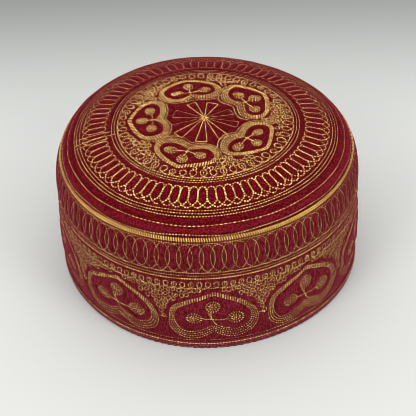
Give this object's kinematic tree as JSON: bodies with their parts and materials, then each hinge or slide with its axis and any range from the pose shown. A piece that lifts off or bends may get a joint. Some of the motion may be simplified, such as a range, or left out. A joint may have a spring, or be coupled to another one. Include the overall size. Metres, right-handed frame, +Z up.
{
  "type": "kufi",
  "caption": "Round velvet kufi with a low domed top, an upright quilted side band, gold braid over the top seam and a folded hem binding, open below for the head.",
  "frame": {"origin": "middle of the rim's underside, where the cap stands", "axes": "+Z up through the middle of the top, +Y towards the back of the cap as pictured, +X to its right"},
  "size_m": [0.1904, 0.1906, 0.1005],
  "materials": {
    "top_velvet": "burgundy velvet pile with a soft sheen, embroidered in gold metal thread",
    "side_velvet": "burgundy velvet pile seen along the nap, embroidered in duller gold thread",
    "gold_braid": "bright gold metal thread, wound and chained",
    "hem_cloth": "dark maroon folded cloth, overcast with matt thread"
  },
  "bodies": {
    "root": {"crown_top": "top_velvet", "side_band": "side_velvet", "edge_braid": "gold_braid", "hem_binding": "hem_cloth"}
  },
  "joints": []
}
